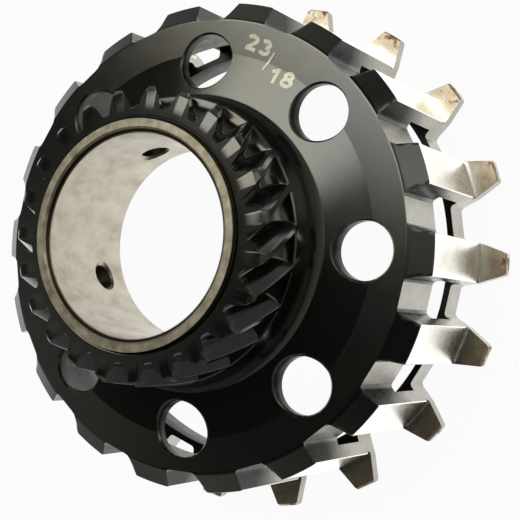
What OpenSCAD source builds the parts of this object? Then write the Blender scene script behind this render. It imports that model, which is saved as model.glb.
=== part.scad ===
// Clutch pinion: a helical pinion and a ring of driving dogs turned and cut
// from one piece of steel, with a bearing bush pressed into its bore.
// All sizes are in millimetres. The part stands on the rear face of the dog
// ring. The axis is Z and the origin is the centre of that rear face.

/* [View] */
// Which sub-part to draw

/* [Helical gear] */
// Number of gear teeth
gear_teeth = 23; // [22:1:24]
// Normal module of the teeth
gear_module = 2.0; // [1.96:0.02:2.04]
// Helix angle, left hand, in degrees
gear_helix = 27.5; // [26:0.5:29]
// Normal pressure angle in degrees
gear_pressure = 20; // [19:0.5:21]
// Profile shift in modules
gear_shift = 0.63; // [0.6:0.01:0.66]
// Tooth height above the pitch circle in modules, before the shift
gear_addendum = 1.0; // [0.95:0.01:1.05]
// Tooth depth below the pitch circle in modules, before the shift
gear_dedendum = 1.25; // [1.2:0.01:1.28]
// Radius of the corner between a tooth and the root circle
gear_root_round = 0.8; // [0.6:0.1:0.9]
// Height of the front face of the gear
gear_top = 56.2; // [55.4:0.2:57]
// Bevel round the tips of the teeth at the front face
gear_bevel = 1.0; // [0.6:0.1:1.4]
// Turn of the teeth at the front face, in degrees
gear_turn = -13.47; // [-20:0.01:-6]

/* [Neck] */
// Height of the neck radius over the tips of the teeth
neck_over = 0.1; // [0.1:0.05:0.4]
// Height at which the neck ends and the tooth gaps begin
neck_top = 44.5; // [43.8:0.1:45.2]
// Bevel at the top of the neck
neck_bevel = 0.3; // [0.2:0.1:0.6]
// Radius of the cutter that leaves the ramp at the end of a tooth gap
ramp_r = 5; // [4.6:0.1:5.4]
// Radius of the concave flare at the foot of the neck
flare_r = 8; // [7:0.2:9]
// Width of the flare
flare_width = 1.6; // [1.4:0.1:1.8]

/* [Web] */
// Height of the front face of the web
web_top = 33.5; // [33:0.1:34]
// Thickness of the web outside its raised cone
web_thick = 2.5; // [2:0.1:3]
// Height of the raised cone at the flare
cone_rise = 2.5; // [2:0.1:3]
// Width of the raised cone, from the foot of the flare
cone_width = 9.5; // [8:0.1:11]
// Width of the web, from the foot of the flare to the inside of the drum
web_width = 15.1; // [14.8:0.1:15.6]
// Radius of the corner between the web and the inside of the drum
web_round = 1.5; // [1:0.1:2]

/* [Holes in the web] */
// Number of holes
hole_count = 8; // [6:1:8]
// Radius of a hole
hole_r = 5.9; // [5:0.1:6.1]
// Distance from the foot of the flare to the middle of a hole
hole_out = 7.65; // [7.4:0.05:7.9]
// Turn of the first hole, in degrees
hole_turn = -10; // [-20:1:0]

/* [Drum] */
// Thickness of the drum, from its inside to the outside of the dogs
drum_wall = 5.8; // [5.6:0.1:6.2]
// Width of the bevel at the front of the dogs
rim_width = 4.2; // [3.8:0.1:4.3]
// Depth of that bevel along the axis
rim_drop = 3.4; // [2.8:0.1:4]
// Depth of the groove inside the drum
groove_depth = 3; // [2.7:0.1:3.4]
// Height of the lower edge of the groove
groove_low = 6.9; // [6.4:0.1:7.4]
// Width of the groove along the axis
groove_width = 10.7; // [9:0.1:12]
// Bevel at the rear inner edge of the drum
rear_bevel = 0.5; // [0.3:0.1:0.8]

/* [Lugs at the rear] */
// Reach of the lugs past the outside of the dogs
lug_reach = 5.7; // [5:0.1:6.5]
// Thickness of a lug
lug_thick = 2.6; // [2.2:0.1:3.2]
// Bevel at the edges of a lug tip
lug_bevel = 0.4; // [0.2:0.1:0.6]
// Width of the relief groove in front of the lugs
relief_width = 1.2; // [0.8:0.1:1.6]
// Depth of the relief groove
relief_depth = 0.4; // [0.2:0.1:0.7]

/* [Slots between the dogs] */
// Number of dogs and of slots
dog_count = 18; // [16:1:18]
// Depth of a slot, from the outside of the dogs to its flat floor
slot_depth = 4.45; // [4.35:0.05:4.7]
// Half width of a slot at its floor, before the corners are rounded
slot_half_floor = 3.35; // [3:0.05:3.6]
// Half width of a slot at the outer radius of the dogs
slot_half_land = 4.9; // [4.5:0.1:5.2]
// Half width of a slot at the tips of the lugs
slot_half_tip = 8; // [7.4:0.1:8.2]
// Radius of the corners at the floor of a slot
slot_round = 1; // [0.6:0.1:1.2]

/* [Bush] */
// Radius of the bore of the bush, which runs on its shaft
bore_r = 20; // [19.5:0.1:20.4]
// Wall of the bush
bush_wall = 2.6; // [2.2:0.1:2.8]
// Length of the bush that stands in front of the gear
bush_proud = 1.15; // [0.8:0.05:1.5]
// Bevel at both ends of the bore of the bush
bush_bevel = 1.1; // [0.7:0.1:1.4]
// Bevel of the pinion bore round the front of the bush
seam_bevel = 0.5; // [0.3:0.1:0.6]
// Number of oil holes
oil_count = 4; // [2:1:6]
// Radius of an oil hole
oil_r = 2.6; // [2:0.1:3]
// Width of the countersink inside an oil hole
oil_sink = 0.4; // [0.2:0.1:0.6]
// Height of the oil holes
oil_height = 39.2; // [38.6:0.2:44]
// Turn of the first oil hole, in degrees
oil_turn = 13; // [0:1:40]

/* [Fineness of the curves] */
// Points along one flank of a tooth
flank_points = 3; // [3:1:4]
// Steps of the helix along the full depth of the teeth
helix_steps = 3; // [2:1:4]
// Steps of the ramp at the ends of the tooth gaps
ramp_steps = 3; // [2:1:4]
// Facets of a round when it is drawn as a mesh
round_facets = 144; // [120:12:168]

/* [Hidden] */
// Reach of every cutter past the surface that it cuts
cut_over = 1;
// Depth of the foot of the gear buried in the neck
gear_buried = 0.5;
// Step between the neck and the foot of the gear
gear_step = 0.1;
web_low = web_top - web_thick;
bush_top = gear_top + bush_proud;
// Outer radius of the bush and bore of the pinion, which fit face to face
bush_r = bore_r + bush_wall;
dog_step = 360 / dog_count;
tooth_step = 360 / gear_teeth;

// Transverse sizes of the gear, from its normal module and helix
pitch_r = gear_teeth * gear_module / cos(gear_helix) / 2;
pressure_t = atan(tan(gear_pressure) / cos(gear_helix));
base_r = pitch_r * cos(pressure_t);
tip_r = pitch_r + (gear_addendum + gear_shift) * gear_module;
root_r = pitch_r - (gear_dedendum - gear_shift) * gear_module;
thick_n = gear_module * (PI / 2 + 2 * gear_shift * tan(gear_pressure));
thick_half = thick_n / cos(gear_helix) / pitch_r / 2 * 180 / PI;
helix_per_mm = tan(gear_helix) / pitch_r * 180 / PI;
// Radius at which the flank leaves the rounded root corner
form_r = max(base_r, root_r + gear_root_round * 0.8);

neck_r = tip_r + neck_over;
flare_foot_r = neck_r + flare_width;
cone_r = flare_foot_r + cone_width;
hole_circle = flare_foot_r + hole_out;
drum_in_r = flare_foot_r + web_width;
drum_r = drum_in_r + drum_wall;
rim_r = drum_r - rim_width;
groove_r = drum_in_r + groove_depth;
groove_high = groove_low + groove_width;
lug_r = drum_r + lug_reach;
slot_floor = drum_r - slot_depth;
flare_foot = web_top + cone_rise;
flare_side = flare_r - flare_width;
flare_mid = flare_foot + sqrt(flare_r * flare_r - flare_side * flare_side);
// The ramp circle passes through the top of the neck bevel
ramp_mid = neck_top + sqrt(ramp_r * ramp_r - neck_bevel * neck_bevel);

slot_lean = atan((slot_half_land - slot_half_floor) / (drum_r - slot_floor));
slot_mid = slot_half_floor - slot_round * (1 - sin(slot_lean)) / cos(slot_lean);
tip_slope = (slot_half_tip - slot_half_land) / (lug_r - drum_r);

// Involute function in degrees of the pressure angle at radius r
function inv(r) = let (a = acos(min(1, base_r / r))) tan(a) * 180 / PI - a;

// Half of the angle that a tooth fills at radius r
function tooth_half(r) = thick_half + inv(pitch_r) - inv(r);

// Angle from the end of the flank to the foot of the root corner
corner_angle = gear_root_round / root_r * 180 / PI * 0.9;

// One tooth as radius and angle of its points, in turning order. The gap
// beside it is filled up to radius low, and its tip is cut down to radius high.
function tooth_points(low, high) =
    let (
        start = max(form_r, min(low + gear_root_round / 3, (low + high) / 2)),
        foot = low + (start - low) * 0.3,
        half = tooth_half(start),
        flank = [for (i = [0 : flank_points - 1])
            start + (high - start) * i / (flank_points - 1)]
    )
    concat(
        [[low, -half - corner_angle], [foot, -half - corner_angle * 0.3]],
        [for (r = flank) [r, -tooth_half(r)]],
        [for (i = [flank_points - 1 : -1 : 0]) [flank[i], tooth_half(flank[i])]],
        [[foot, half + corner_angle * 0.3], [low, half + corner_angle]]
    );

// Height, gap radius, tip radius and round radius of each ring of the gear.
// Its foot is round and buried in the neck. Over it come the bevel of the
// neck, the ramp, the teeth and the bevel at their front.
ramp_start = asin(neck_bevel / ramp_r);
ramp_end = asin((neck_r - root_r) / ramp_r);
ramp_out = ramp_mid - ramp_r * cos(ramp_end);
gear_rings = concat(
    [for (h = [-gear_buried, gear_step])
        [neck_top - neck_bevel + h, ramp_radius(ramp_start), tip_r, neck_r - gear_step]],
    [for (i = [0 : ramp_steps]) let (t = ramp_start + (ramp_end - ramp_start) * i / ramp_steps)
        [ramp_mid - ramp_r * cos(t), ramp_radius(t), tip_r, 0]],
    [for (i = [1 : helix_steps])
        [ramp_out + (gear_top - gear_bevel - ramp_out) * i / helix_steps, root_r, tip_r, 0]],
    [[gear_top, root_r, tip_r - gear_bevel, 0]]
);

function ramp_radius(t) = neck_r - ramp_r * sin(t);

function turned(r, a, z) = [r * cos(a), r * sin(a), z];

// Sleeve of twisted teeth. The bore of the pinion takes away its inner wall.
module gear_sleeve() {
    sides = gear_teeth * (4 + 2 * flank_points);
    rings = len(gear_rings);
    outer = [
        for (g = gear_rings)
            for (k = [0 : gear_teeth - 1])
                for (p = tooth_points(g[1], g[2]))
                    turned(g[3] > 0 ? g[3] : p[0],
                           p[1] + k * tooth_step + gear_turn + (gear_top - g[0]) * helix_per_mm,
                           g[0])
    ];
    inner = [
        for (n = [rings - 1, 0])
            for (i = [0 : sides - 1])
                let (p = outer[n * sides + i])
                    [p[0], p[1]] * (bush_r - cut_over) / norm([p[0], p[1]])
    ];
    points = concat(outer, [for (i = [0 : 2 * sides - 1])
        [inner[i][0], inner[i][1], gear_rings[i < sides ? rings - 1 : 0][0]]]);
    faces = [
        for (n = [0 : rings + 1], i = [0 : sides - 1], half = [0, 1])
            let (
                up = (n + 1) % (rings + 2) * sides,
                next = (i + 1) % sides
            )
            half == 0
                ? [n * sides + i, up + i, up + next]
                : [n * sides + i, up + next, n * sides + next]
    ];
    polyhedron(points, faces, convexity = 10);
}

// Half section of the turned blank, without its bore
module blank_section() {
    difference() {
        polygon([
            [0, web_low],
            [drum_in_r - web_round, web_low],
            [drum_in_r - web_round, web_low - web_round],
            [drum_in_r, web_low - web_round],
            [drum_in_r, groove_high],
            [groove_r, groove_high],
            [groove_r, groove_low],
            [drum_in_r, groove_low],
            [drum_in_r, rear_bevel],
            [drum_in_r + rear_bevel, 0],
            [lug_r - lug_bevel, 0],
            [lug_r, lug_bevel],
            [lug_r, lug_thick - lug_bevel],
            [lug_r - lug_bevel, lug_thick],
            [drum_r - relief_depth, lug_thick],
            [drum_r - relief_depth, lug_thick + relief_width],
            [drum_r, lug_thick + relief_width],
            [drum_r, web_top - rim_drop],
            [rim_r, web_top],
            [cone_r, web_top],
            [flare_foot_r, flare_foot],
            [flare_foot_r, flare_mid],
            [neck_r, flare_mid],
            [neck_r, neck_top - neck_bevel],
            [0, neck_top - neck_bevel]
        ]);
        // Concave flare at the foot of the neck
        intersection() {
            translate([neck_r + flare_r, flare_mid])
                circle(flare_r, $fn = round_facets);
            translate([neck_r, flare_foot])
                square([flare_width + cut_over, flare_r + cut_over]);
        }
        // Rounded corner between the web and the inside of the drum
        translate([drum_in_r - web_round, web_low - web_round])
            circle(web_round, $fn = round_facets);
    }
}

// One slot between two dogs, on the X axis
module slot_section() {
    slot_end = lug_r + cut_over;
    half_end = slot_half_tip + tip_slope * cut_over;
    corner_x = slot_floor + slot_round * (1 - sin(slot_lean));
    corner_y = slot_mid + slot_round * cos(slot_lean);
    polygon([
        [slot_floor, -slot_mid],
        [corner_x, -corner_y],
        [drum_r, -slot_half_land],
        [slot_end, -half_end],
        [slot_end, half_end],
        [drum_r, slot_half_land],
        [corner_x, corner_y],
        [slot_floor, slot_mid]
    ]);
    for (side = [-1, 1])
        translate([slot_floor + slot_round, side * slot_mid])
            circle(slot_round, $fn = round_facets / 3);
}

// Cutter for one hole of the web
module hole_cutter() {
    translate([hole_circle, 0, web_low - cut_over])
        cylinder(r = hole_r, h = web_thick + cone_rise + 2 * cut_over, $fn = round_facets / 2);
}

module pinion_body() {
    color([0.16, 0.16, 0.16])
    difference() {
        union() {
            rotate_extrude($fn = round_facets)
                blank_section();
            gear_sleeve();
        }
        // Bore for the bush
        translate([0, 0, web_low - cut_over])
            cylinder(r = bush_r, h = bush_top - web_low + 2 * cut_over, $fn = round_facets);
        translate([0, 0, gear_top - seam_bevel])
            cylinder(r1 = bush_r, r2 = bush_r + seam_bevel + cut_over,
                     h = seam_bevel + cut_over, $fn = round_facets);
        for (k = [0 : hole_count - 1])
            rotate([0, 0, hole_turn + k * 360 / hole_count])
                hole_cutter();
        for (k = [0 : dog_count - 1])
            rotate([0, 0, (k + 0.5) * dog_step])
                translate([0, 0, -cut_over])
                    linear_extrude(height = web_top + 2 * cut_over)
                        slot_section();
    }
}

module bush() {
    color([0.75, 0.72, 0.66])
    difference() {
        rotate_extrude($fn = round_facets)
            polygon([
                [bore_r + bush_bevel, web_low],
                [bush_r, web_low],
                [bush_r, bush_top],
                [bore_r + bush_bevel, bush_top],
                [bore_r, bush_top - bush_bevel],
                [bore_r, web_low + bush_bevel]
            ]);
        for (k = [0 : oil_count - 1])
            rotate([0, 0, oil_turn + k * 360 / oil_count])
                translate([0, 0, oil_height])
                    rotate([0, 90, 0]) {
                        translate([0, 0, bore_r - 2 * cut_over])
                            cylinder(r = oil_r, h = bush_r - bore_r + 4 * cut_over,
                                     $fn = round_facets / 3);
                        translate([0, 0, bore_r - 2 * cut_over])
                            cylinder(r1 = oil_r + oil_sink + 2 * cut_over, r2 = oil_r,
                                     h = 2 * cut_over + oil_sink, $fn = round_facets / 3);
                    }
    }
}

pinion_body();
bush();
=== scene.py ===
import math

import bmesh
import bpy
import numpy as np
from mathutils import Matrix, Vector


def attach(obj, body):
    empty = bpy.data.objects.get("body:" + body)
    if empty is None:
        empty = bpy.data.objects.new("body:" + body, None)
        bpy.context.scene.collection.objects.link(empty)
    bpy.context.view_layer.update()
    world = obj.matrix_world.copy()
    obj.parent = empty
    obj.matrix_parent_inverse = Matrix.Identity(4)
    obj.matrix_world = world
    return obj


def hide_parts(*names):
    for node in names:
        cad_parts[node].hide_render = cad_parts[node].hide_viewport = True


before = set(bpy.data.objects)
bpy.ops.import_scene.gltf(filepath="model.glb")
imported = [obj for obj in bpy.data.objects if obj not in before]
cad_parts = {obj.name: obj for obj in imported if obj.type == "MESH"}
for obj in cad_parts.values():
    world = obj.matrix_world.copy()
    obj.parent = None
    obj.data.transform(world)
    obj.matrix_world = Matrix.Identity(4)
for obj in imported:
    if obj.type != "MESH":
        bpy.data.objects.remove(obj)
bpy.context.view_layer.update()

# Pinion body
# One piece of steel: helical gear, neck, web with eight holes, drum with 18
# dogs and rear lugs. It looks turned, cut and blackened, with the dogs ground
# bright after that. Its surface is one mesh of strips, each a grid of two
# parameters, and it stands for the CAD node of the same piece.

# Sizes in mm, those of the CAD model to 0.01, but for three. LUG_R is 0.01 less
# than the solid's, to stay inside its box. DRUM_IN_R is 0.01 more. WEB_ROUND, the
# corner between web and drum, is 1.2 where the solid has 1.5.
DOGS = 18
TEETH = 23
HOLES = 8
WEB_TOP, WEB_LOW, WEB_ROUND = 33.5, 31.0, 1.2
DRUM_R, DRUM_IN_R, RIM_R, RIM_DROP = 51.79, 46.0, 47.59, 3.4
GROOVE_R, GROOVE_LOW, GROOVE_HIGH = 48.99, 6.9, 17.6
LUG_R, LUG_THICK, LUG_BEVEL = 57.48, 2.6, 0.4
RELIEF_DEPTH = 0.4
SLOT_FLOOR, SLOT_ROUND = 47.34, 1.0
SLOT_HALF_FLOOR, SLOT_HALF_LAND, SLOT_HALF_TIP = 3.35, 4.9, 8.0
BORE_R, GEAR_TOP, GEAR_BEVEL, SEAM = 22.6, 56.2, 1.0, 0.5
NECK_TOP, NECK_OVER, NECK_BEVEL, RAMP_R = 44.5, 0.1, 0.3, 5.0
FLARE_R, FLARE_WIDTH, CONE_R, CONE_RISE = 8.0, 1.6, 40.39, 2.5
HOLE_R, HOLE_CIRCLE, HOLE_TURN = 5.9, 38.54, -10.0
GEAR_TURN, MODULE, SHIFT = -13.47, 2.0, 0.63
HELIX, PRESSURE = math.radians(27.5), math.radians(20.0)

# Edges of the sectors that make up the front of the web
WEB_IN_R, WEB_OUT_R = 31.3, 46.5

PITCH_R = TEETH * MODULE / math.cos(HELIX) / 2
PRESSURE_T = math.atan(math.tan(PRESSURE) / math.cos(HELIX))
BASE_R = PITCH_R * math.cos(PRESSURE_T)
TIP_R = PITCH_R + (1.0 + SHIFT) * MODULE
ROOT_R = PITCH_R - (1.25 - SHIFT) * MODULE
THICK_HALF = MODULE * (math.pi / 2 + 2 * SHIFT * math.tan(PRESSURE)) / math.cos(HELIX) / PITCH_R / 2
TWIST = math.tan(HELIX) / PITCH_R
NECK_R = TIP_R + NECK_OVER
FLARE_FOOT_R = NECK_R + FLARE_WIDTH
LAND_TOP = WEB_TOP - RIM_DROP

# Material places on the body
BLACK, GROUND, LUGS, MARK, WALLS, CUT, FLANK_CUT, WEB = range(8)


class Surface:
    """Strips of quads in mm, each with a material place and a wear value a point."""

    def __init__(self):
        self.points, self.quads, self.places, self.wear = [], [], [], []
        self.count = 0

    def strip(self, grid, place=BLACK, wear=None, keep=None, close=True):
        """Adds the grid of points, rows by columns by xyz. The columns close into
        a ring, and keep says which cells are there. Normals face away from the
        side where the columns turn left as the rows go on."""
        rows, cols = grid.shape[:2]
        ids = self.count + np.arange(rows * cols).reshape(rows, cols)
        nxt = np.roll(ids, -1, axis=1)
        cells = np.stack([ids[:-1], ids[1:], nxt[1:], nxt[:-1]], axis=-1)
        if not close:
            cells = cells[:, :-1]
        here = np.ones(cells.shape[:2], bool)
        if keep is not None:
            here &= keep[:, :here.shape[1]]
        where = np.full(cells.shape[:2], place) if np.isscalar(place) else place[:, :here.shape[1]]
        self.points.append(grid.reshape(-1, 3))
        self.quads.append(cells[here])
        self.places.append(where[here])
        w = np.zeros((rows, cols)) if wear is None else np.broadcast_to(wear, (rows, cols))
        self.wear.append(w.reshape(-1))
        self.count += rows * cols

    def build(self, name, materials, angle=30.0):
        """One welded mesh object in metres."""
        mesh = bpy.data.meshes.new(name)
        points = np.concatenate(self.points) / 1000
        quads = np.concatenate(self.quads)
        mesh.from_pydata(points.tolist(), [], quads.tolist())
        mesh.polygons.foreach_set("material_index", np.concatenate(self.places).astype(np.int32))
        wear = mesh.attributes.new("wear", "FLOAT", "POINT")
        wear.data.foreach_set("value", np.concatenate(self.wear).astype(np.float32))
        bm = bmesh.new()
        bm.from_mesh(mesh)
        bmesh.ops.remove_doubles(bm, verts=bm.verts, dist=2e-6)
        bmesh.ops.dissolve_degenerate(bm, edges=bm.edges, dist=1e-7)
        bm.to_mesh(mesh)
        bm.free()
        mesh.shade_smooth()
        mesh.set_sharp_from_angle(angle=math.radians(angle))
        for m in materials:
            mesh.materials.append(m)
        obj = bpy.data.objects.new(name, mesh)
        bpy.context.scene.collection.objects.link(obj)
        return obj


def polar(r, a, z):
    """Points from radius, angle in radians and height, broadcast together."""
    r, a, z = np.broadcast_arrays(np.asarray(r, float), np.asarray(a, float), np.asarray(z, float))
    return np.stack([r * np.cos(a), r * np.sin(a), z], axis=-1)


# Drum: outline of half a slot, from its middle to the middle of a dog
slot_lean = math.atan((SLOT_HALF_LAND - SLOT_HALF_FLOOR) / (DRUM_R - SLOT_FLOOR))
slot_mid = SLOT_HALF_FLOOR - SLOT_ROUND * (1 - math.sin(slot_lean)) / math.cos(slot_lean)
turn = np.linspace(0, math.pi / 2 - slot_lean, 7)
corner = np.stack([SLOT_FLOOR + SLOT_ROUND * (1 - np.cos(turn)), slot_mid + SLOT_ROUND * np.sin(turn)], 1)
floor_line = np.stack([np.full(4, SLOT_FLOOR), slot_mid * np.array([0, 0.4, 0.75, 0.95])], 1)
far = 1.0
land_end = np.array([[DRUM_R, SLOT_HALF_LAND]])
tip_end = np.array([[LUG_R + far, SLOT_HALF_TIP + far * (SLOT_HALF_TIP - SLOT_HALF_LAND) / (LUG_R - DRUM_R)]])
fine = np.concatenate([
    floor_line, corner,
    corner[-1] + (land_end - corner[-1]) * np.linspace(0.02, 1, 40)[:, None],
    land_end + (tip_end - land_end) * np.linspace(0.02, 1, 40)[:, None],
])
fine_r, fine_a = np.hypot(fine[:, 0], fine[:, 1]), np.arctan2(fine[:, 1], fine[:, 0])
low_r = np.concatenate([fine_r[:11], [GROOVE_R]])
low_a = np.interp(low_r, fine_r, fine_a)
EDGE = 0.16
HALF_DOG = math.pi / DOGS
UPPER, LAND = 6, 8


def outline_angle(r):
    """Angle at which the outline of half a slot reaches a radius."""
    return np.interp(r, fine_r, fine_a)


def half_outline(radius):
    """Radius and angle of the columns of half a sector, clipped at a radius."""
    top = max(radius - EDGE, GROOVE_R) if radius > GROOVE_R else radius
    upper_r = GROOVE_R + (top - GROOVE_R) * np.linspace(1 / UPPER, 1, UPPER)
    if radius <= GROOVE_R:
        upper_r = np.full(UPPER, radius)
    lower_r = np.minimum(low_r, radius)
    start = outline_angle(radius) + EDGE / radius
    land_a = start + (HALF_DOG - start) * np.linspace(0, 1, LAND)
    r = np.concatenate([lower_r, upper_r, np.full(LAND, radius)])
    a = np.concatenate([outline_angle(lower_r), outline_angle(upper_r), land_a])
    return r, a


def half_inside(radius):
    """The same columns on a round inside, where the groove ends at the flanks."""
    on = np.linspace(1 / (UPPER + LAND), 1, UPPER + LAND)
    a = np.concatenate([low_a, low_a[-1] + (HALF_DOG - low_a[-1]) * on])
    return np.full(a.shape, float(radius)), a


def half_groove():
    """Radius and angle of the columns at the groove, which ends at the slot."""
    r, a = half_inside(GROOVE_R)
    return np.concatenate([low_r, r[len(low_r):]]), a


def half_even(radius):
    """Evenly spaced columns, to meet the web."""
    n = len(low_r) + UPPER + LAND
    return np.full(n, float(radius)), HALF_DOG * np.linspace(0, 1, n)


def whole(half, z):
    """The full ring from half a sector: each sector has its slot in the middle."""
    r, a = half
    r = np.concatenate([r[::-1][:-1], r])
    a = np.concatenate([-a[::-1][:-1], a])
    r, a = r[:-1], a[:-1]
    centres = (np.arange(DOGS) + 0.5) * 2 * math.pi / DOGS
    return polar(np.tile(r, DOGS), (centres[:, None] + a[None]).reshape(-1), z)


n_half = len(low_r) + UPPER + LAND
n_low = len(low_r)
side = np.zeros(n_half, int)
side[n_low:] = 1
side[n_low + UPPER:] = 2
# For the cell between two columns: 0 floor and corner, 1 flank, 2 edge, 3 land
cell = np.zeros(n_half - 1, int)
cell[4:] = 1
cell[n_low + UPPER - 1] = 2
cell[n_low + UPPER:] = 3
cells_ring = np.tile(np.concatenate([cell[::-1], cell]), DOGS)
edge_half = np.zeros(n_half)
edge_half[n_low + UPPER - 1:n_low + UPPER + 1] = 1.0
edge_ring = np.tile(np.concatenate([edge_half[::-1][:-1], edge_half[:-1]]), DOGS)
window_half = np.arange(n_half - 1) >= n_low - 1
over_window = np.tile(np.concatenate([window_half[::-1], window_half]), DOGS)

body = Surface()

# Front of the drum and its dogs, down to the rear face. Each row is a height, a
# radius and the wear of its edge.
rows = [(WEB_TOP, 47.2, 0.0), (WEB_TOP, 47.5, 0.15), (WEB_TOP - 0.06, 47.68, 0.15)]
rows += [(WEB_TOP - RIM_DROP * t, RIM_R + (DRUM_R - RIM_R) * t, 0.0) for t in (0.15, 0.4, 0.7, 0.93)]
rows += [(LAND_TOP + 0.06, DRUM_R - 0.06, 0.2), (LAND_TOP - 0.1, DRUM_R, 0.2)]
land_heights = (29.0, 26.0, 22.5, 19.5, GROOVE_HIGH, 15.0, 12.0, 9.0, GROOVE_LOW, 5.4, 4.3)
rows += [(z, DRUM_R, 0.0) for z in land_heights]
rows += [(3.9, DRUM_R, 0.3), (3.82, DRUM_R - 0.08, 0.3), (3.78, DRUM_R - 0.36, 0.0)]
rows += [(3.7, DRUM_R - RELIEF_DEPTH, 0.0), (2.95, DRUM_R - RELIEF_DEPTH, 0.0), (2.68, DRUM_R - 0.3, 0.2)]
rows += [(LUG_THICK, r, 0.0) for r in (51.75, 52.6, 53.8, 55.0, 56.2)]
rows += [(LUG_THICK, LUG_R - LUG_BEVEL, 0.8), (LUG_THICK - LUG_BEVEL, LUG_R, 0.8), (1.3, LUG_R, 0.3)]
rows += [(LUG_BEVEL, LUG_R, 0.8), (0.0, LUG_R - LUG_BEVEL, 0.6)]
rows += [(0.0, r, 0.0) for r in (56.0, 54.0, 52.0, 50.5, 49.3, 48.2, 47.6)]
grid = np.stack([whole(half_even(WEB_OUT_R), WEB_TOP)] + [whole(half_outline(r), z) for z, r, w in rows])
wear = np.zeros(grid.shape[:2])
for i, (z, r, w) in enumerate(rows):
    wear[i + 1] = np.maximum(w, edge_ring * (0.3 if z < 33.4 else 0.1))
zs = np.array([WEB_TOP] + [z for z, r, w in rows])
place = np.full((len(zs) - 1, grid.shape[1]), BLACK)
keep = np.ones(place.shape, bool)
for i in range(len(zs) - 1):
    mid_z = (zs[i] + zs[i + 1]) / 2
    if LUG_BEVEL / 2 < mid_z < WEB_TOP:
        place[i] = np.choose(cells_ring, [CUT, FLANK_CUT, BLACK, BLACK])
    if LUG_THICK + 0.1 < mid_z < 30.0:
        place[i] = np.choose(cells_ring, [CUT, FLANK_CUT, GROUND, GROUND])
    if mid_z < LUG_THICK + 0.1:
        place[i] = np.choose(cells_ring, [CUT, CUT, LUGS, LUGS])
    if 3.0 < mid_z < 3.86:
        place[i] = np.choose(cells_ring, [CUT, FLANK_CUT, WALLS, WALLS])
    if GROOVE_LOW < mid_z < GROOVE_HIGH:
        keep[i] = over_window
body.strip(grid, place, wear, keep)

# Inside of the drum: rear face ring, bore, groove, corner to the web
rear_rows = [(46.55, 0.0), (46.5, 0.02), (DRUM_IN_R + 0.02, 0.5), (DRUM_IN_R, 0.6), (DRUM_IN_R, 3.5)]
rear_rows += [(DRUM_IN_R, GROOVE_LOW - 0.1), (DRUM_IN_R + 0.05, GROOVE_LOW)]
rear = [whole(half_outline(47.6), 0.0)] + [whole(half_inside(r), z) for r, z in rear_rows]
body.strip(np.stack(rear + [whole(half_groove(), GROOVE_LOW)]), WALLS)
tube = np.stack([whole(half_groove(), z) for z in (GROOVE_LOW, 9.5, 12.0, 15.0, GROOVE_HIGH)])
body.strip(tube, WALLS, keep=np.broadcast_to(over_window, (4, len(over_window))))
arc = np.linspace(0, math.pi / 2, 6)
upper = [whole(half_groove(), GROOVE_HIGH), whole(half_inside(DRUM_IN_R + 0.05), GROOVE_HIGH)]
upper += [whole(half_inside(DRUM_IN_R), z) for z in (GROOVE_HIGH + 0.1, 20.0, 24.0, 28.0)]
round_r, round_z = DRUM_IN_R - WEB_ROUND, WEB_LOW - WEB_ROUND
upper += [
    whole(half_inside(round_r + WEB_ROUND * math.cos(t)), round_z + WEB_ROUND * math.sin(t))
    for t in arc
]
body.strip(np.stack(upper), WALLS)

# Web: a sector for each hole, from the hole to the edges of the sector
HOLE_STEP = 2 * math.pi / HOLES


def cone_height(r):
    """Height of the front of the web at a radius."""
    return WEB_TOP + CONE_RISE * np.clip((CONE_R - r) / (CONE_R - FLARE_FOOT_R), 0, None)


def sector_edge(r_in, r_out, n_arc, n_side):
    """Closed outline of a sector round the X axis, and the hole angle of each point."""
    h = HOLE_STEP / 2
    t_arc, t_side = np.linspace(-h, h, n_arc + 1)[:-1], np.linspace(0, 1, n_side + 1)[:-1]
    r = np.concatenate([np.full(n_arc, r_out), r_out + (r_in - r_out) * t_side,
                        np.full(n_arc, r_in), r_in + (r_out - r_in) * t_side])
    a = np.concatenate([t_arc, np.full(n_side, h), -t_arc, np.full(n_side, -h)])
    x, y = r * np.cos(a) - HOLE_CIRCLE, r * np.sin(a)
    return x, y, np.arctan2(y, x)


def sector_rows(radii, edge, hole_radius):
    """Rows from the sector's edge to a round hole, spaced by the given shares."""
    x, y, t = edge
    hx, hy = hole_radius * np.cos(t), hole_radius * np.sin(t)
    return [(x + (hx - x) * s, y + (hy - y) * s) for s in radii]


def hole_ring(t, radius, z):
    """Ring of points round a hole at the angles t, at one height or one each."""
    x, y = HOLE_CIRCLE + radius * np.cos(t), radius * np.sin(t)
    return np.stack([x, y, np.broadcast_to(z, t.shape)], 1)


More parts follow.
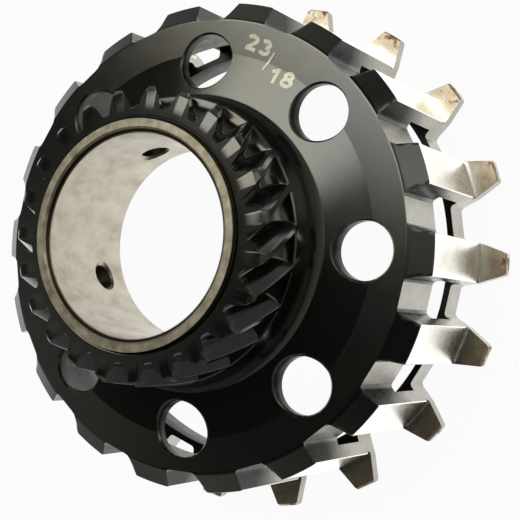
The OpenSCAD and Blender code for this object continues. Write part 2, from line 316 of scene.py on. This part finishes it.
front_edge = sector_edge(WEB_IN_R, WEB_OUT_R, 45, 14)
back_edge = sector_edge(WEB_IN_R, round_r, 45, 14)
shares = np.linspace(0, 1, 15)
for k in range(HOLES):
    spin = math.radians(HOLE_TURN) + k * HOLE_STEP
    c, s = math.cos(spin), math.sin(spin)
    made = []
    for x, y in sector_rows(shares, front_edge, HOLE_R + 0.4):
        made.append(np.stack([x + HOLE_CIRCLE, y, cone_height(np.hypot(x + HOLE_CIRCLE, y))], 1))
    t = front_edge[2]
    rim = made[-1]
    for r, d in ((HOLE_R + 0.05, 0.35), (HOLE_R, 0.45)):
        made.append(hole_ring(t, r, rim[:, 2] - d))
    for r, z in ((HOLE_R, 32.3), (HOLE_R, 31.25), (HOLE_R + 0.2, WEB_LOW)):
        made.append(hole_ring(t, r, z))
    back = sector_rows((1.0, 0.7, 0.35, 0), back_edge, HOLE_R + 0.2)
    grid = np.stack(made)
    turned = grid @ np.array([[c, s, 0], [-s, c, 0], [0, 0, 1]])
    wear = np.zeros(turned.shape[:2])
    wear[len(shares) - 1:len(shares) + 1] = 0.3
    place = np.full((turned.shape[0] - 1, turned.shape[1]), BLACK)
    place[:len(shares) - 1] = WEB
    place[len(shares):] = WALLS
    body.strip(turned[:, ::-1], place[:, ::-1], wear[:, ::-1])
    grid = np.stack([np.stack([x + HOLE_CIRCLE, y, np.full(len(x), WEB_LOW)], 1) for x, y in back])
    turned = grid @ np.array([[c, s, 0], [-s, c, 0], [0, 0, 1]])
    body.strip(turned[:, ::-1], WALLS)

# Cone, flare and neck, turned
around = np.linspace(0, 2 * math.pi, 360, endpoint=False)
flare_mid = WEB_TOP + CONE_RISE + math.sqrt(FLARE_R ** 2 - (FLARE_R - FLARE_WIDTH) ** 2)
sweep = np.linspace(math.asin((FLARE_R - FLARE_WIDTH) / FLARE_R), math.pi / 2, 9)
profile = [(WEB_IN_R, cone_height(WEB_IN_R), 0.0), (31.02, cone_height(31.02), 0.0)]
profile += [(30.88, cone_height(30.9) + 0.03, 0.1)]
profile += [
    (NECK_R + FLARE_R - FLARE_R * math.sin(t), flare_mid - FLARE_R * math.cos(t), 0.0)
    for t in sweep[1:]
]
wall_low = NECK_TOP - NECK_BEVEL - 0.6
profile += [(NECK_R, flare_mid + (wall_low - flare_mid) * t, 0.0) for t in (0.3, 0.65, 1.0)]
grid = np.stack([polar(r, around, z) for r, z, w in profile])
body.strip(grid[::-1], BLACK, np.array([w for r, z, w in profile])[::-1, None])
bore_low = WEB_LOW + 0.3
grid = [polar(r, around, WEB_LOW) for r in (WEB_IN_R, 27.0, 22.95)] + [polar(BORE_R, around, bore_low)]
grid = np.stack(grid)
body.strip(grid[::-1], WALLS)


# Helical gear with the ramp at the end of each gap
def tooth_half(r):
    """Half of the angle that a tooth fills at radius r, by the involute."""
    def inv(radius):
        cosine = np.minimum(1.0, BASE_R / radius)
        return np.tan(np.arccos(cosine)) - np.arccos(cosine)
    return THICK_HALF + inv(PITCH_R) - inv(np.asarray(r, float))


FLANK, CORNER, TIP = 9, 6, 5
TIP_EDGE = 0.12


def half_tooth(low, high):
    """Radius and angle of the columns of half a tooth, from the middle of the
    tip to the middle of the gap, with the gap filled up to radius low."""
    start = max(BASE_R + 0.05, low + min(0.75, (high - low) * 0.4))
    edge = min(TIP_EDGE, (high - low) * 0.2)
    flank_r = np.linspace(high - edge, start, FLANK)
    flank_a = tooth_half(flank_r)
    tip_a = (tooth_half(high) - edge / high) * np.linspace(0, 1, TIP)
    t = np.linspace(0, math.pi / 2, CORNER + 1)[1:]
    wide = min(0.7 / low, (math.pi / TEETH - flank_a[-1]) * 0.8)
    corner_r = start - (start - low) * np.sin(t)
    corner_a = flank_a[-1] + wide * (1 - np.cos(t))
    r = np.concatenate([np.full(TIP, high), flank_r, corner_r, [low]])
    a = np.concatenate([tip_a, flank_a, corner_a, [math.pi / TEETH]])
    return r, a


def gear_ring(z, low, high, round_r=None):
    """Ring of all teeth at a height, turned by the helix, or a round one."""
    r, a = half_tooth(low, high)
    r = np.concatenate([r[::-1][:-1], r])[:-1]
    a = np.concatenate([-a[::-1][:-1], a])[:-1]
    if round_r is not None:
        r = np.full(r.shape, round_r)
    centres = np.arange(TEETH) * 2 * math.pi / TEETH + math.radians(GEAR_TURN) + (GEAR_TOP - z) * TWIST
    return polar(np.tile(r, TEETH), (centres[:, None] + a[None]).reshape(-1), z)


ramp_mid = NECK_TOP + math.sqrt(RAMP_R ** 2 - NECK_BEVEL ** 2)
ramp_angles = np.linspace(math.asin(NECK_BEVEL / RAMP_R), math.asin((NECK_R - ROOT_R) / RAMP_R), 9)
# Each row is a height, the radius of gap, tip and round ring, and its wear
ring_rows = [(z, NECK_R - NECK_BEVEL, TIP_R, NECK_R, 0.0) for z in (wall_low, NECK_TOP - NECK_BEVEL)]
ring_rows += [(NECK_TOP, NECK_R - NECK_BEVEL, TIP_R, None, 0.1)]
ring_rows += [
    (ramp_mid - RAMP_R * math.cos(t), NECK_R - RAMP_R * math.sin(t), TIP_R, None, 0.0)
    for t in ramp_angles[1:]
]
ramp_out = ring_rows[-1][0]
teeth_high = GEAR_TOP - GEAR_BEVEL - ramp_out
ring_rows += [(ramp_out + teeth_high * t, ROOT_R, TIP_R, None, 0.0) for t in (0.2, 0.4, 0.6, 0.8)]
ring_rows += [(GEAR_TOP - 1.04, ROOT_R, TIP_R, None, 0.3), (GEAR_TOP - 0.94, ROOT_R, TIP_R - 0.06, None, 0.3)]
ring_rows += [(GEAR_TOP - 0.04, ROOT_R, TIP_R - 0.97, None, 0.3)]
ring_rows += [(GEAR_TOP, ROOT_R + 0.03, TIP_R - 1.04, None, 0.2)]
grid = [gear_ring(z, low, high, round_r) for z, low, high, round_r, w in ring_rows]
edge = np.zeros(TIP + FLANK + CORNER + 1)
edge[TIP - 1:TIP + 1] = 1.0
edge[TIP + 1] = 0.35
tooth_edge = np.tile(np.concatenate([edge[::-1][:-1], edge])[:-1], TEETH)
wear = [np.maximum(w, tooth_edge * 0.3) if round_r is None else np.full(tooth_edge.shape, w)
        for z, low, high, round_r, w in ring_rows]
face = grid[-1].copy()
radius = np.hypot(face[:, 0], face[:, 1])
for r in (24.3, 23.6, BORE_R + SEAM + 0.05):
    ring = face.copy()
    ring[:, :2] *= (np.minimum(radius, r) / radius)[:, None]
    grid.append(ring)
    wear.append(np.zeros(len(tooth_edge)))
seam_rows = [(BORE_R + SEAM - 0.05, GEAR_TOP - 0.03), (BORE_R + 0.02, GEAR_TOP - SEAM)]
seam_rows += [(BORE_R, z) for z in (GEAR_TOP - SEAM - 0.1, 48.0, 40.0, bore_low)]
for r, z in seam_rows:
    ring = face.copy()
    ring[:, :2] *= (r / radius)[:, None]
    ring[:, 2] = z
    grid.append(ring)
    wear.append(np.zeros(len(tooth_edge)))
grid, wear = np.stack(grid), np.stack(wear)
place = np.full((len(grid) - 1, grid.shape[1]), BLACK)
body.strip(grid[::-1], place[::-1], wear[::-1])


def graph(name):
    """A new node material, its tree and its main shader."""
    m = bpy.data.materials.new(name)
    m.use_nodes = True
    tree = m.node_tree
    return m, tree, tree.nodes["Principled BSDF"]


def add(tree, kind, values=(), **props):
    """A node with its properties and constant inputs set."""
    n = tree.nodes.new(kind)
    for k, v in props.items():
        setattr(n, k, v)
    for k, v in dict(values).items():
        n.inputs[k].default_value = v
    return n


def noise(tree, scale, detail=3.0, stretch=(1, 1, 1), rough=0.55):
    """Noise in object metres, stretched along the axes. Returns its value socket."""
    co = add(tree, "ShaderNodeTexCoord")
    place = add(tree, "ShaderNodeMapping", {"Scale": stretch})
    tex = add(tree, "ShaderNodeTexNoise", {"Scale": scale, "Detail": detail, "Roughness": rough})
    tree.links.new(co.outputs["Object"], place.inputs["Vector"])
    tree.links.new(place.outputs["Vector"], tex.inputs["Vector"])
    return tex.outputs["Fac"]


def ramp(tree, value, *stops):
    """Colour ramp on a value; stops are (position, colour)."""
    n = add(tree, "ShaderNodeValToRGB")
    ends = n.color_ramp.elements
    ends[0].position, ends[0].color = stops[0][0], (*stops[0][1], 1)
    ends[1].position, ends[1].color = stops[-1][0], (*stops[-1][1], 1)
    for at, colour in stops[1:-1]:
        n.color_ramp.elements.new(at).color = (*colour, 1)
    tree.links.new(value, n.inputs["Fac"])
    return n.outputs["Color"]


def span(tree, value, low, high, to_low, to_high):
    """Value mapped from one range to another, clamped."""
    limits = {"From Min": low, "From Max": high, "To Min": to_low, "To Max": to_high}
    n = add(tree, "ShaderNodeMapRange", limits)
    tree.links.new(value, n.inputs["Value"])
    return n.outputs["Result"]


def mix(tree, factor, a, b):
    """Colour mix of two sockets or colours."""
    n = add(tree, "ShaderNodeMix", data_type="RGBA")
    tree.links.new(factor, n.inputs["Factor"])
    for socket, c in ((n.inputs[6], a), (n.inputs[7], b)):
        if isinstance(c, tuple):
            socket.default_value = (*c, 1)
        else:
            tree.links.new(c, socket)
    return n.outputs[2]


def times(tree, a, b, op="MULTIPLY"):
    """Product of two sockets or numbers, or another operation on them."""
    n = add(tree, "ShaderNodeMath", operation=op)
    for socket, v in ((n.inputs[0], a), (n.inputs[1], b)):
        if isinstance(v, (int, float)):
            socket.default_value = v
        else:
            tree.links.new(v, socket)
    return n.outputs[0]


def from_axis(tree):
    """The way from the axis out to a point, and its length in metres."""
    co = add(tree, "ShaderNodeTexCoord")
    flat = add(tree, "ShaderNodeVectorMath", operation="MULTIPLY")
    flat.inputs[1].default_value = (1, 1, 0)
    size = add(tree, "ShaderNodeVectorMath", operation="LENGTH")
    tree.links.new(co.outputs["Object"], flat.inputs[0])
    tree.links.new(flat.outputs["Vector"], size.inputs[0])
    return flat.outputs["Vector"], size.outputs["Value"]


def height_over_rear(tree):
    """Height over the rear face in metres."""
    co = add(tree, "ShaderNodeTexCoord")
    split = add(tree, "ShaderNodeSeparateXYZ")
    tree.links.new(co.outputs["Object"], split.inputs["Vector"])
    return split.outputs["Z"]


def sine_lines(tree, along, wobble, pitch):
    """Sine of a length, one line to each pitch, with some wobble."""
    moved = times(tree, along, wobble, "ADD")
    return times(tree, times(tree, moved, 2 * math.pi / pitch), 0.0, "SINE")


def lathe_lines(tree, pitch):
    """Fine rings round the axis, as a lathe leaves them: sine of the radius."""
    radius = from_axis(tree)[1]
    return sine_lines(tree, radius, times(tree, noise(tree, 120.0), pitch * 2), pitch)


def axis_lines(tree, pitch):
    """Fine rings along the axis, as a grinding wheel leaves on a round face."""
    height = height_over_rear(tree)
    return sine_lines(tree, height, times(tree, noise(tree, 150.0), pitch * 3), pitch)


def bump(tree, shader, height, strength, distance):
    """Fine relief of a finish. Returns its node, to set the normal under it."""
    n = add(tree, "ShaderNodeBump", {"Strength": strength, "Distance": distance})
    tree.links.new(height, n.inputs["Height"])
    tree.links.new(n.outputs["Normal"], shader.inputs["Normal"])
    return n


def worn(tree):
    """Wear stored on the mesh, broken up by noise."""
    attribute = add(tree, "ShaderNodeAttribute", attribute_name="wear")
    broken = span(tree, noise(tree, 900.0, 4.0), 0.35, 0.65, 0.35, 1.1)
    return times(tree, attribute.outputs["Fac"], broken)


def web_normal(tree):
    """Exact normal of the turned front of the web: flat outside, a cone inside a
    sharp line, which the mesh would round off."""
    way_out, radius = from_axis(tree)
    outward = add(tree, "ShaderNodeVectorMath", operation="NORMALIZE")
    tree.links.new(way_out, outward.inputs[0])
    on_cone = times(tree, radius, CONE_R / 1000, "LESS_THAN")
    slope = times(tree, on_cone, CONE_RISE / (CONE_R - FLARE_FOOT_R))
    lean = add(tree, "ShaderNodeVectorMath", operation="SCALE")
    tree.links.new(outward.outputs["Vector"], lean.inputs[0])
    tree.links.new(slope, lean.inputs["Scale"])
    total = add(tree, "ShaderNodeVectorMath", operation="ADD")
    total.inputs[1].default_value = (0, 0, 1)
    tree.links.new(lean.outputs["Vector"], total.inputs[0])
    turned = add(tree, "ShaderNodeVectorTransform", vector_type="NORMAL",
                 convert_from="OBJECT", convert_to="WORLD")
    tree.links.new(total.outputs["Vector"], turned.inputs["Vector"])
    return turned.outputs["Vector"]


def black_oxide(name, web):
    """Glossy black: dark steel with an oiled film, a little lighter where rubbed.
    The front of the web has its exact normals."""
    m, tree, shader = graph(name)
    base = ramp(tree, noise(tree, 70.0, 5.0),
                (0.3, (0.004, 0.0042, 0.004)), (0.7, (0.008, 0.008, 0.0075)))
    rub = span(tree, worn(tree), 0.15, 1.1, 0.0, 1.0)
    colour = mix(tree, rub, base, (0.34, 0.33, 0.30))
    tree.links.new(colour, shader.inputs["Base Color"])
    tree.links.new(rub, shader.inputs["Metallic"])
    rough = span(tree, noise(tree, 260.0, 5.0), 0.3, 0.7, 0.14, 0.17)
    tree.links.new(rough, shader.inputs["Roughness"])
    shader.inputs["IOR"].default_value = 1.95
    tint = ramp(tree, noise(tree, 32.0, 4.0), (0.35, (1.0, 0.97, 0.84)), (0.65, (0.92, 0.97, 1.0)))
    tree.links.new(tint, shader.inputs["Specular Tint"])
    height = times(tree, times(tree, lathe_lines(tree, 0.00045), 0.12), noise(tree, 1500.0, 3.0), "ADD")
    fine = bump(tree, shader, height, 0.06, 0.00003)
    if web:
        tree.links.new(web_normal(tree), fine.inputs["Normal"])
    return m


def ground_steel():
    """Bright ground land of a dog: fine lines round the drum and faint stains."""
    m, tree, shader = graph("ground_steel")
    stain = noise(tree, 130.0, 5.0, (1, 1, 0.6))
    base = ramp(tree, stain, (0.28, (0.74, 0.70, 0.60)),
                (0.5, (0.90, 0.88, 0.81)), (0.75, (0.95, 0.93, 0.88)))
    tree.links.new(base, shader.inputs["Base Color"])
    shader.inputs["Metallic"].default_value = 1.0
    rough = span(tree, noise(tree, 700.0, 4.0, (1, 1, 6)), 0.3, 0.7, 0.22, 0.34)
    tree.links.new(rough, shader.inputs["Roughness"])
    bump(tree, shader, axis_lines(tree, 0.0004), 0.08, 0.00002)
    return m


def cut_steel(name, painted_web_reflection):
    """Floors and flanks of the slots: milled grey steel. On the flanks a painted
    reflection of the dark web makes them near black by the web, fading out away
    from it."""
    m, tree, shader = graph(name)
    base = ramp(tree, noise(tree, 160.0, 5.0, (1, 1, 0.5)),
                (0.3, (0.25, 0.24, 0.20)), (0.7, (0.36, 0.35, 0.30)))
    # Painted reflection: near the web the flanks are coloured near black, standing in for the dark web that
    # they mirror.
    if painted_web_reflection:
        height = height_over_rear(tree)
        ragged = times(tree, height, times(tree, noise(tree, 90.0), 0.008), "ADD")
        base = mix(tree, span(tree, ragged, 0.016, 0.028, 0.0, 1.0), base, (0.02, 0.02, 0.018))
    tree.links.new(base, shader.inputs["Base Color"])
    shader.inputs["Metallic"].default_value = 1.0
    tree.links.new(span(tree, noise(tree, 600.0, 4.0), 0.3, 0.7, 0.20, 0.32), shader.inputs["Roughness"])
    bump(tree, shader, axis_lines(tree, 0.0006), 0.10, 0.00003)
    return m


def lug_steel():
    """Lug face: light steel colour by the groove, a painted highlight for light on a
    curved fillet there, then a real brown stain, with rust spots towards the tip."""
    m, tree, shader = graph("lug_stain_painted_highlight")
    radius = from_axis(tree)[1]
    ragged = times(tree, radius, times(tree, noise(tree, 260.0, 4.0), 0.0016), "ADD")
    # Painted highlight: inside this radius the face gets a light colour for the light that a curved fillet by
    # the groove catches; outside it is the real brown stain.
    highlight_then_stain = span(tree, ragged, 0.0534, 0.0552, 0.0, 1.0)
    tan = ramp(tree, noise(tree, 300.0, 5.0), (0.3, (0.42, 0.34, 0.24)), (0.7, (0.70, 0.62, 0.49)))
    colour = mix(tree, highlight_then_stain, (0.80, 0.77, 0.69), tan)
    tip = span(tree, ragged, 0.0556, 0.0572, 0.0, 1.0)
    rust = times(tree, tip, span(tree, noise(tree, 420.0, 4.0), 0.5, 0.62, 0.0, 1.0))
    colour = mix(tree, rust, colour, (0.36, 0.13, 0.03))
    tree.links.new(colour, shader.inputs["Base Color"])
    dull = span(tree, times(tree, highlight_then_stain, rust, "ADD"), 0.0, 2.0, 1.0, 0.1)
    tree.links.new(dull, shader.inputs["Metallic"])
    tree.links.new(span(tree, rust, 0.0, 1.0, 0.24, 0.6), shader.inputs["Roughness"])
    bump(tree, shader, noise(tree, 1300.0, 4.0), 0.10, 0.00003)
    return m


def mark_steel():
    """Look of etched numbers: light and matt."""
    m, tree, shader = graph("etched_mark")
    base = ramp(tree, noise(tree, 900.0, 4.0), (0.35, (0.62, 0.60, 0.50)), (0.65, (0.82, 0.80, 0.69)))
    tree.links.new(base, shader.inputs["Base Color"])
    shader.inputs["Metallic"].default_value = 0.5
    shader.inputs["Roughness"].default_value = 0.45
    return m


def wall_steel():
    """Inside of the drum and of the holes: dark grey with a trace of cutting."""
    m, tree, shader = graph("dark_machined")
    base = ramp(tree, noise(tree, 160.0, 5.0), (0.3, (0.022, 0.020, 0.017)), (0.7, (0.055, 0.051, 0.044)))
    tree.links.new(base, shader.inputs["Base Color"])
    shader.inputs["Metallic"].default_value = 0.8
    tree.links.new(span(tree, noise(tree, 500.0, 4.0), 0.3, 0.7, 0.32, 0.46), shader.inputs["Roughness"])
    bump(tree, shader, axis_lines(tree, 0.0005), 0.08, 0.00003)
    return m


# Numbers on the web, the counts of teeth and of dogs, as thin strokes that lie
# just over its front. The strokes of one figure differ in their lift, so that
# they don't meet in a plane.
MARK_HIGH, MARK_WIDTH, MARK_LIFT, MARK_STEP = 3.3, 0.84, 0.045, 0.01


def arc_points(cx, cy, rx, ry, start, end, n):
    """Points on an arc of an ellipse, between two angles in degrees."""
    t = np.radians(np.linspace(start, end, n))
    return np.stack([cx + rx * np.cos(t), cy + ry * np.sin(t)], 1)


def glyph(sign):
    """Strokes of a figure in a box one high, as centre lines."""
    if sign == "2":
        top = arc_points(0.33, 0.70, 0.22, 0.20, 165, -35, 14)
        return [np.concatenate([top, [[0.14, 0.10]]]), np.array([[0.07, 0.10], [0.60, 0.10]])]
    if sign == "3":
        return [arc_points(0.32, 0.71, 0.20, 0.19, 150, -85, 12),
                arc_points(0.31, 0.31, 0.235, 0.21, 85, -150, 14)]
    if sign == "1":
        return [np.array([[0.14, 0.68], [0.40, 0.90]]), np.array([[0.40, 0.98], [0.40, 0.0]])]
    if sign == "8":
        return [arc_points(0.33, 0.71, 0.18, 0.18, 0, 360, 22),
                arc_points(0.33, 0.295, 0.225, 0.21, 0, 360, 24)]
    return []


def stroke(line, width):
    """Left and right edge of a centre line, mitred at its corners."""
    step = np.diff(line, axis=0)
    step /= np.linalg.norm(step, axis=1)[:, None]
    shut = np.allclose(line[0], line[-1])
    before = np.vstack([step[-1:] if shut else step[:1], step])
    after = np.vstack([step, step[:1] if shut else step[-1:]])
    along = before + after
    along /= np.linalg.norm(along, axis=1)[:, None]
    reach = np.clip(1 / np.maximum(np.sum(along * before, axis=1), 0.5), 1, 1.6)
    side = np.stack([-along[:, 1], along[:, 0]], 1) * (width / 2 * reach)[:, None]
    return line + side, line - side


def lay_stroke(line, width, lift):
    """Adds a stroke in mm of the plan to the body, just over the front of the web."""
    flat = np.stack(stroke(line, width))
    height = cone_height(np.hypot(flat[..., 0], flat[..., 1])) + lift
    body.strip(np.concatenate([flat, height[..., None]], axis=-1), MARK, close=False)


def write_mark(text, start, end):
    """Writes figures on the web, from the start to the end of a base line."""
    start, end = np.array(start), np.array(end)
    pitch = np.linalg.norm(end - start) / len(text)
    along = (end - start) / np.linalg.norm(end - start)
    up_way = np.array([-along[1], along[0]])
    for i, sign in enumerate(text):
        for j, line in enumerate(glyph(sign)):
            x = (i + 0.04) * pitch + line[:, :1] * pitch * 1.42
            middle = start + x * along + line[:, 1:] * MARK_HIGH * up_way
            lay_stroke(middle, MARK_WIDTH, MARK_LIFT + MARK_STEP * j)


write_mark(str(TEETH), (39.1, -15.5), (35.6, -21.3))
lay_stroke(np.linspace((36.3, -22.7), (33.3, -19.7), 7), 0.46, 0.08)
write_mark(str(DOGS), (30.9, -20.2), (27.8, -25.8))

# In the order of the material places
finishes = [
    black_oxide("black_oxide", False), ground_steel(), lug_steel(), mark_steel(), wall_steel(),
    cut_steel("cut_floor", False), cut_steel("cut_flank_painted_reflection", True), black_oxide("web_oxide", True),
]
pinion = body.build("pinion_body_surface", finishes)
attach(pinion, "root")
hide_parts("pinion_body")


# Bush
# Plain bearing bush, presumably pressed into the bore. It keeps its CAD solid,
# with a turned, mottled bright metal and a dull front ring.
def bush_metal():
    """Mottled bearing metal. Over the gear it is dull, with a dark line of painted
    shade for the shadow in a small step.
    """
    m, tree, shader = graph("bush_metal")
    base = ramp(tree, noise(tree, 240.0, 8.0, (1, 1, 0.6)), (0.3, (0.34, 0.30, 0.235)),
                (0.52, (0.48, 0.44, 0.36)), (0.75, (0.56, 0.525, 0.45)))
    height = height_over_rear(tree)
    ring = span(tree, height, 0.05622, 0.05632, 0.0, 1.0)
    dull = ramp(tree, noise(tree, 420.0, 5.0), (0.3, (0.32, 0.28, 0.20)), (0.7, (0.72, 0.66, 0.52)))
    # Painted shade: the dark band between the two dull rings stands for the shadow in a small step.
    front = mix(tree, span(tree, height, 0.05690, 0.05700, 0.0, 1.0), (0.045, 0.032, 0.02), dull)
    front = mix(tree, span(tree, height, 0.05640, 0.05646, 0.0, 1.0), dull, front)
    tree.links.new(mix(tree, ring, base, front), shader.inputs["Base Color"])
    tree.links.new(span(tree, ring, 0.0, 1.0, 1.0, 0.8), shader.inputs["Metallic"])
    rough = span(tree, noise(tree, 500.0, 5.0, (1, 1, 5)), 0.3, 0.7, 0.30, 0.44)
    tree.links.new(rough, shader.inputs["Roughness"])
    bump(tree, shader, axis_lines(tree, 0.00035), 0.10, 0.00003)
    return m


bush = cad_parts["bush"]
bush.data.materials.clear()
bush.data.materials.append(bush_metal())


# Floor, background and light
# Pale floor under the part. There are no lamps. The world is a studio seen by
# direction: pale low down, dark overhead, with five soft boxes. The camera sees
# it plain white. The floor glows too, but only for the camera and in mirrors.
def floor_plane():
    """Floor that looks white to the camera and keeps a faint shadow. In mirrors
    its glow has a strength of 1.4 near the part, falling to 0.2 far out."""
    mesh = bpy.data.meshes.new("floor")
    s = 3.0  # half its width, in metres
    mesh.from_pydata([(-s, -s, 0), (s, -s, 0), (s, s, 0), (-s, s, 0)], [], [(0, 1, 2, 3)])
    obj = bpy.data.objects.new("floor", mesh)
    bpy.context.scene.collection.objects.link(obj)
    m, tree, shader = graph("floor_white")
    shader.inputs["Base Color"].default_value = (0.86, 0.84, 0.81, 1)
    shader.inputs["Roughness"].default_value = 0.9
    shader.inputs["Specular IOR Level"].default_value = 0.0
    glow = add(tree, "ShaderNodeEmission", {"Color": (1, 1, 1, 1)})
    path = add(tree, "ShaderNodeLightPath")
    seen = times(tree, path.outputs["Is Camera Ray"], path.outputs["Is Glossy Ray"], "MAXIMUM")
    co = add(tree, "ShaderNodeTexCoord")
    away = add(tree, "ShaderNodeVectorMath", operation="LENGTH")
    tree.links.new(co.outputs["Object"], away.inputs[0])
    near = span(tree, away.outputs["Value"], 0.085, 0.150, 0.40, -0.80)
    mirrored = times(tree, path.outputs["Is Glossy Ray"], near)
    tree.links.new(times(tree, mirrored, 1.0, "ADD"), glow.inputs["Strength"])
    share = times(tree, seen, 0.95)
    both = add(tree, "ShaderNodeMixShader")
    out = tree.nodes["Material Output"]
    tree.links.new(share, both.inputs["Fac"])
    tree.links.new(shader.outputs["BSDF"], both.inputs[1])
    tree.links.new(glow.outputs["Emission"], both.inputs[2])
    tree.links.new(both.outputs["Shader"], out.inputs["Surface"])
    mesh.materials.append(m)
    return obj


floor = floor_plane()


def blob(tree, way, middle, inner, outer, level):
    """Soft round light of the world about a direction: full inside, none outside."""
    dot = add(tree, "ShaderNodeVectorMath", operation="DOT_PRODUCT")
    dot.inputs[1].default_value = Vector(middle).normalized()
    tree.links.new(way, dot.inputs[0])
    limits = {"From Min": math.cos(math.radians(outer)), "From Max": math.cos(math.radians(inner)),
              "To Min": 0.0, "To Max": level}
    n = add(tree, "ShaderNodeMapRange", limits, interpolation_type="SMOOTHSTEP")
    tree.links.new(dot.outputs["Value"], n.inputs["Value"])
    return n.outputs["Result"]


# Soft boxes: way to the middle, inner and outer half angle in degrees, strength
SOFT_BOXES = [
    ((0.47, 0.18, 0.866), 14, 23, 3.2),
    ((0.02, 0.72, 0.70), 4, 16, 0.22),
    ((0.42, -0.76, 0.49), 8, 20, 0.9),
    ((0.10, -0.83, 0.55), 8, 30, 0.30),
    ((0.13, -0.36, 0.92), 7, 19, 0.45),
]

world = bpy.data.worlds.new("studio")
bpy.context.scene.world = world
world.use_nodes = True
wt = world.node_tree
backdrop = wt.nodes["Background"]
way = add(wt, "ShaderNodeTexCoord").outputs["Generated"]
split = add(wt, "ShaderNodeSeparateXYZ")
wt.links.new(way, split.inputs["Vector"])
total = span(wt, split.outputs["Z"], 0.05, 0.50, 0.30, 0.02)
for middle, inner, outer, strength in SOFT_BOXES:
    total = times(wt, total, blob(wt, way, middle, inner, outer, strength), "ADD")
path = add(wt, "ShaderNodeLightPath")
seen = path.outputs["Is Camera Ray"]
level = add(wt, "ShaderNodeMix", data_type="FLOAT")
wt.links.new(seen, level.inputs["Factor"])
wt.links.new(total, level.inputs[2])
level.inputs[3].default_value = 1.0
wt.links.new(level.outputs[0], backdrop.inputs["Strength"])
wt.links.new(mix(wt, seen, (1.0, 0.985, 0.89), (1.0, 1.0, 1.0)), backdrop.inputs["Color"])

# Camera, from the fit to the photograph: its axes, and its place in mm
CAMERA_RIGHT = (-0.089105, -0.875664, -0.47463)
CAMERA_UP = (0.988683, -0.1355, 0.06438)
CAMERA_BACK = (-0.120687, -0.463522, 0.877828)
CAMERA_PLACE = (-35.309, -129.836, 250.972)
camera = bpy.data.objects.new("camera", bpy.data.cameras.new("camera"))
bpy.context.scene.collection.objects.link(camera)
camera.data.sensor_width = 36.0
camera.data.lens = 84.43
camera.data.clip_start = 0.01
turned = Matrix((CAMERA_RIGHT, CAMERA_UP, CAMERA_BACK)).transposed().to_4x4()
camera.matrix_world = Matrix.Translation(Vector(CAMERA_PLACE) / 1000) @ turned
bpy.context.scene.camera = camera
bpy.context.scene.view_settings.view_transform = "Standard"

bpy.context.view_layer.update()
